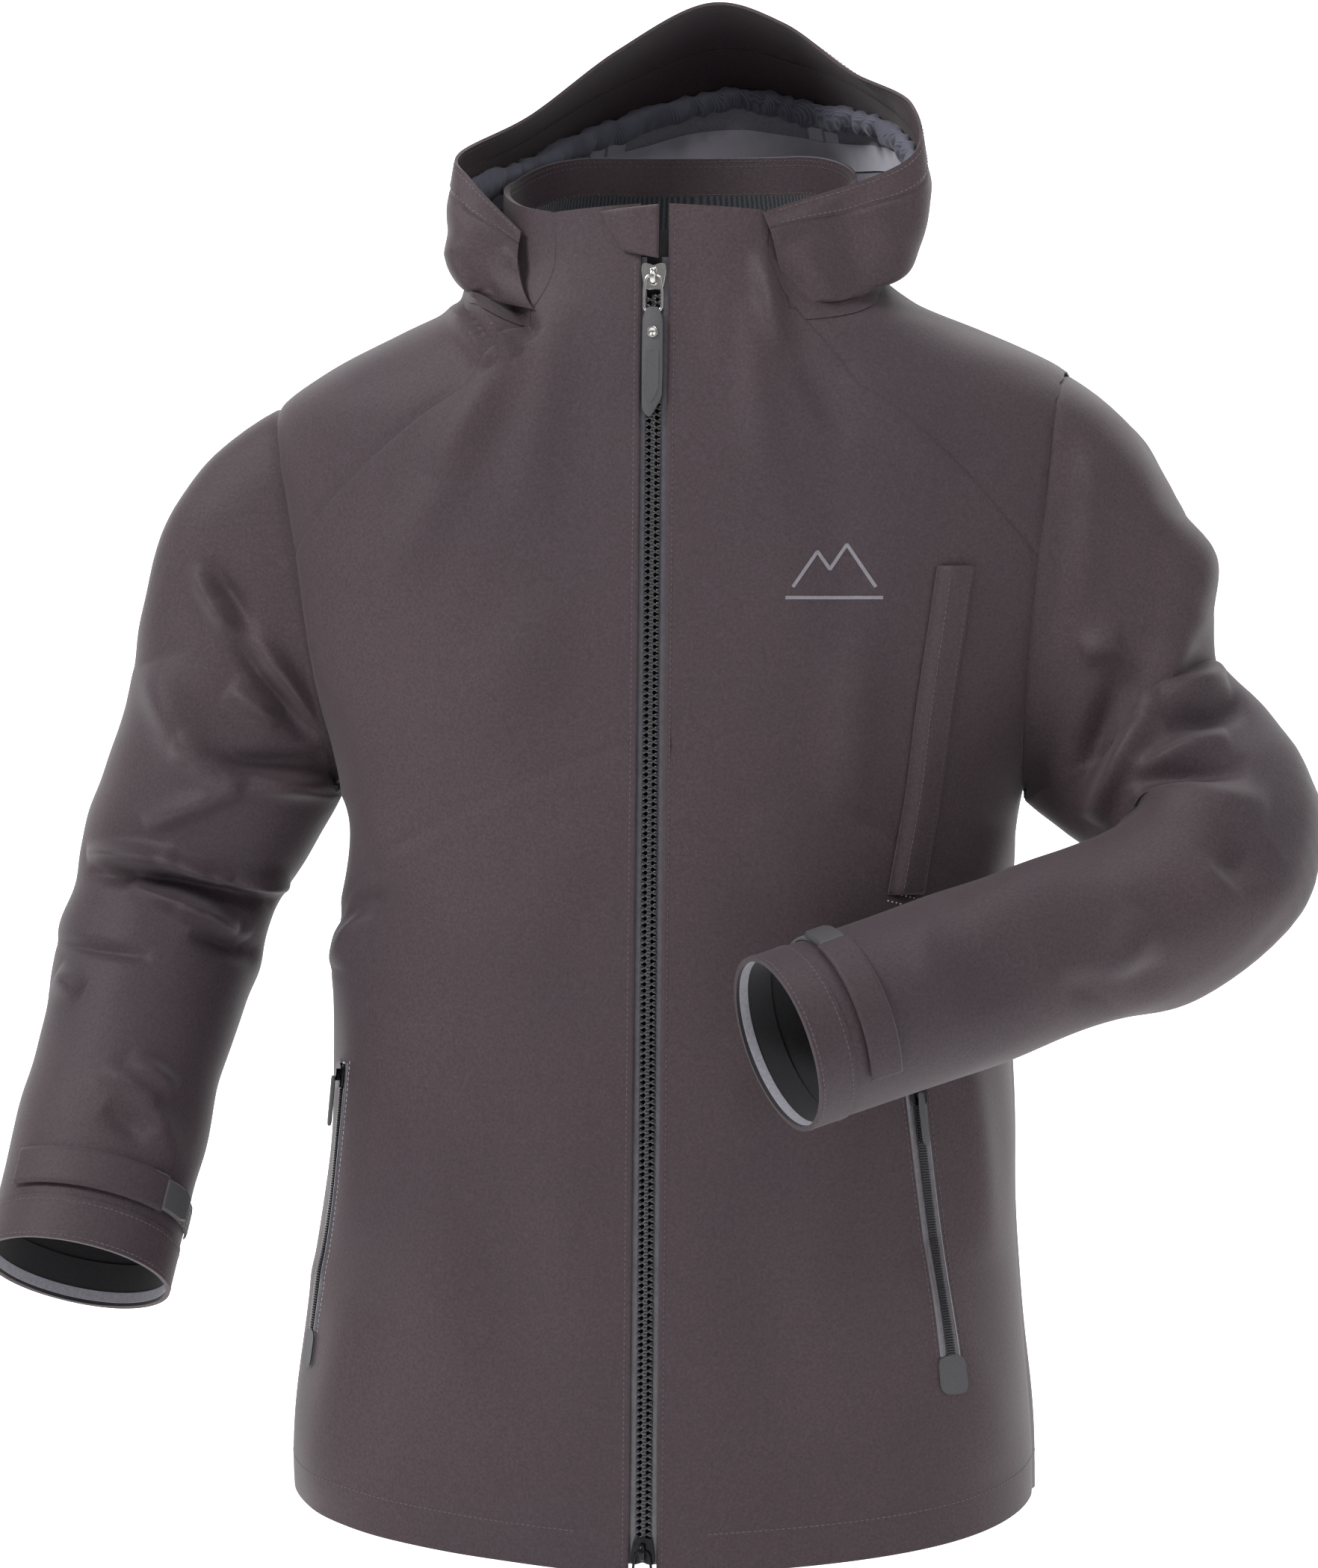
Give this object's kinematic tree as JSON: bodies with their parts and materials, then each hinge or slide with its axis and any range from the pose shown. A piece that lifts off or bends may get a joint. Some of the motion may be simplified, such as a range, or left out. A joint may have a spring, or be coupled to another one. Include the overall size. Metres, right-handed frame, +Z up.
{
  "type": "hardshell jacket",
  "caption": "Hooded waterproof shell jacket with a two-way front zip, zipped hand and chest pockets, and cuff straps; it hangs by the loop at its nape.",
  "frame": {"origin": "top of the hanger loop at the middle of the nape, where a peg carries the jacket", "axes": "+Z up, -Y out of the front of the jacket, +X towards the wearer's left"},
  "size_m": [0.7667, 0.4464, 0.9097],
  "materials": {
    "shell_fabric": "matt plain-weave face of a three-layer laminate",
    "lining_fabric": "smooth grey tricot backer",
    "brushed_knit": "dark brushed knit",
    "elastic_twill": "gathered grey twill over elastic",
    "seam_tape": "welded grey seam tape, low sheen",
    "coated_zip_tape": "polyurethane-coated tape, glossy",
    "zip_teeth": "moulded acetal, semi-gloss",
    "lacquered_zinc": "die-cast zinc, black lacquer, satin",
    "bare_zinc": "die-cast zinc, bright plated",
    "soft_rubber": "moulded soft rubber, satin",
    "hook_loop_pile": "black brushed loop pile"
  },
  "bodies": {
    "jacket": {"left_chest_panel": "shell_fabric", "right_chest_panel": "shell_fabric", "left_front_skirt_panel": "shell_fabric", "right_front_skirt_panel": "shell_fabric", "left_shoulder_yoke": "shell_fabric", "right_shoulder_yoke": "shell_fabric", "back_panel": "shell_fabric", "collar_shell": "shell_fabric", "left_pocket_garage": "shell_fabric", "right_pocket_garage": "shell_fabric", "hem_facing": "shell_fabric", "collar_facing": "lining_fabric", "storm_flap": "lining_fabric", "left_pocket_bag": "lining_fabric", "right_pocket_bag": "lining_fabric", "chest_pocket_bag": "lining_fabric", "hanger_loop": "lining_fabric", "collar_knit_lining": "brushed_knit", "main_zip_left_tape": "coated_zip_tape", "main_zip_right_tape": "coated_zip_tape", "left_pocket_tape": "coated_zip_tape", "right_pocket_tape": "coated_zip_tape", "main_zip_left_teeth": "zip_teeth", "main_zip_right_teeth": "zip_teeth", "left_pocket_teeth": "zip_teeth", "right_pocket_teeth": "zip_teeth", "chest_pocket_chain": "zip_teeth"},
    "hood": {"hood_right_panel": "shell_fabric", "hood_crown_panel": "shell_fabric", "hood_left_panel": "shell_fabric", "hood_brim": "shell_fabric", "hood_face_elastic": "elastic_twill", "hood_seam_tape_right": "seam_tape", "hood_seam_tape_left": "seam_tape"},
    "left_upper_arm": {"left_upper_sleeve": "shell_fabric"},
    "left_forearm": {"left_lower_sleeve": "shell_fabric", "left_cuff_band": "shell_fabric", "left_cuff_loop_patch": "hook_loop_pile"},
    "left_cuff_strap": {"left_cuff_tab": "shell_fabric", "left_cuff_tab_tip": "soft_rubber"},
    "right_upper_arm": {"right_upper_sleeve": "shell_fabric"},
    "right_forearm": {"right_lower_sleeve": "shell_fabric", "right_cuff_band": "shell_fabric", "right_cuff_loop_patch": "hook_loop_pile"},
    "right_cuff_strap": {"right_cuff_tab": "shell_fabric", "right_cuff_tab_tip": "soft_rubber"},
    "top_zip_slider": {"top_slider": "lacquered_zinc"},
    "top_zip_puller": {"top_puller": "bare_zinc", "pull_tab": "soft_rubber", "pull_tab_rivet": "bare_zinc"},
    "bottom_zip_slider": {"bottom_slider": "lacquered_zinc"},
    "bottom_zip_puller": {"bottom_puller": "lacquered_zinc"},
    "left_pocket_zip_slider": {"left_pocket_slider": "lacquered_zinc"},
    "left_pocket_zip_puller": {"left_pocket_puller": "soft_rubber"},
    "right_pocket_zip_slider": {"right_pocket_slider": "lacquered_zinc"},
    "right_pocket_zip_puller": {"right_pocket_puller": "soft_rubber"},
    "chest_pocket_zip_slider": {"chest_pocket_slider": "lacquered_zinc"},
    "chest_welt": {"chest_pocket_welt": "shell_fabric"},
    "garage_flap": {"zip_garage_flap": "shell_fabric"}
  },
  "joints": [
    {"name": "hood_fold_back", "type": "hinge", "parent": "jacket", "child": "hood", "pos_m": [0, 0.008, 0.004], "axis": [-1, 0, 0], "range_deg": [0, 40]},
    {"name": "left_shoulder_raise", "type": "hinge", "parent": "jacket", "child": "left_upper_arm", "pos_m": [0.2255, -0.082, -0.0585], "axis": [0, -1, 0], "range_deg": [0, 60]},
    {"name": "left_elbow_straighten", "type": "hinge", "parent": "left_upper_arm", "child": "left_forearm", "pos_m": [0.2905, -0.2247, -0.4115], "axis": [0.2045, -0.7329, 0.6489], "range_deg": [0, 75]},
    {"name": "left_cuff_strap_peel", "type": "hinge", "parent": "left_forearm", "child": "left_cuff_strap", "pos_m": [0.1462, -0.3188, -0.4422], "axis": [0.8408, 0.4709, 0.2669], "range_deg": [0, 120]},
    {"name": "right_shoulder_raise", "type": "hinge", "parent": "jacket", "child": "right_upper_arm", "pos_m": [-0.2355, -0.082, -0.077], "axis": [0, 1, 0], "range_deg": [0, 60]},
    {"name": "right_elbow_bend", "type": "hinge", "parent": "right_upper_arm", "child": "right_forearm", "pos_m": [-0.2734, -0.1311, -0.3996], "axis": [-0.6874, -0.5838, 0.432], "range_deg": [0, 60]},
    {"name": "right_cuff_strap_peel", "type": "hinge", "parent": "right_forearm", "child": "right_cuff_strap", "pos_m": [-0.368, -0.2065, -0.5164], "axis": [-0.101, -0.5231, -0.8462], "range_deg": [0, 120]},
    {"name": "main_zip_open", "type": "slide", "parent": "jacket", "child": "top_zip_slider", "axis": [0, -0.0619, -0.9981], "range_m": [0, 0.4]},
    {"name": "top_puller_swing", "type": "hinge", "parent": "top_zip_slider", "child": "top_zip_puller", "pos_m": [0, -0.1835, -0.008], "axis": [-1, 0, 0], "range_deg": [0, 120]},
    {"name": "two_way_zip_open", "type": "slide", "parent": "jacket", "child": "bottom_zip_slider", "axis": [0, 0.0619, 0.9981], "range_m": [0, 0.2]},
    {"name": "bottom_puller_swing", "type": "hinge", "parent": "bottom_zip_slider", "child": "bottom_zip_puller", "pos_m": [0, -0.22807, -0.72652], "axis": [-1, 0, 0], "range_deg": [0, 120]},
    {"name": "left_pocket_zip_open", "type": "slide", "parent": "jacket", "child": "left_pocket_zip_slider", "axis": [0.122, 0.0215, -0.9923], "range_m": [0, 0.13]},
    {"name": "left_pocket_puller_swing", "type": "hinge", "parent": "left_pocket_zip_slider", "child": "left_pocket_zip_puller", "pos_m": [0.1535, -0.1837, -0.4676], "axis": [-0.8412, -0.5407, 0.0024], "range_deg": [0, 90]},
    {"name": "right_pocket_zip_open", "type": "slide", "parent": "jacket", "child": "right_pocket_zip_slider", "axis": [-0.1153, 0.0257, -0.993], "range_m": [0, 0.13]},
    {"name": "right_pocket_puller_swing", "type": "hinge", "parent": "right_pocket_zip_slider", "child": "right_pocket_zip_puller", "pos_m": [-0.1957, -0.1534, -0.4674], "axis": [-0.6088, 0.7933, 0.0023], "range_deg": [0, 90]},
    {"name": "chest_pocket_zip_open", "type": "slide", "parent": "jacket", "child": "chest_pocket_zip_slider", "axis": [-0.1367, -0.0149, -0.9905], "range_m": [0, 0.12]},
    {"name": "chest_welt_lift", "type": "hinge", "parent": "jacket", "child": "chest_welt", "pos_m": [0.1467, -0.1776, -0.263], "axis": [-0.145, -0.0364, -0.9888], "range_deg": [0, 60]},
    {"name": "garage_flap_open", "type": "hinge", "parent": "jacket", "child": "garage_flap", "pos_m": [-0.0246, -0.1787, 0.0185], "axis": [0.532, -0.1242, -0.8376], "range_deg": [0, 110]}
  ]
}
